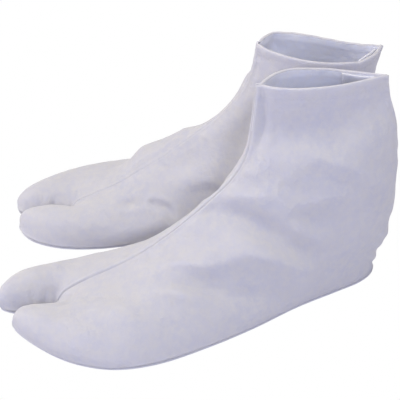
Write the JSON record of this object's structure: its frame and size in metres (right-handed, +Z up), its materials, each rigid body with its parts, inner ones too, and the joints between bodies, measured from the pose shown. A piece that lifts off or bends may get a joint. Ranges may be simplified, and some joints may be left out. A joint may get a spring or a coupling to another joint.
{
  "type": "pair of tabi socks",
  "caption": "Pair of split-toed cotton ankle socks, filled out and standing on flat soles, closed at the back of the heel.",
  "frame": {"origin": "centre of the pair's bounding box, on the floor under the soles", "axes": "+Z up; toes towards -Y; the left sock on the +X side, the right sock on the -X side and a little further back"},
  "size_m": [0.2264, 0.28, 0.147],
  "materials": {
    "panel": "matt white cotton twill",
    "sole": "matt white heavy cotton",
    "flap": "matt white cotton lining"
  },
  "bodies": {
    "root": {"left_outer_panel": "panel", "left_inner_panel": "panel", "left_sole": "sole", "left_closure_flap": "flap", "right_outer_panel": "panel", "right_inner_panel": "panel", "right_sole": "sole", "right_closure_flap": "flap"}
  },
  "joints": []
}
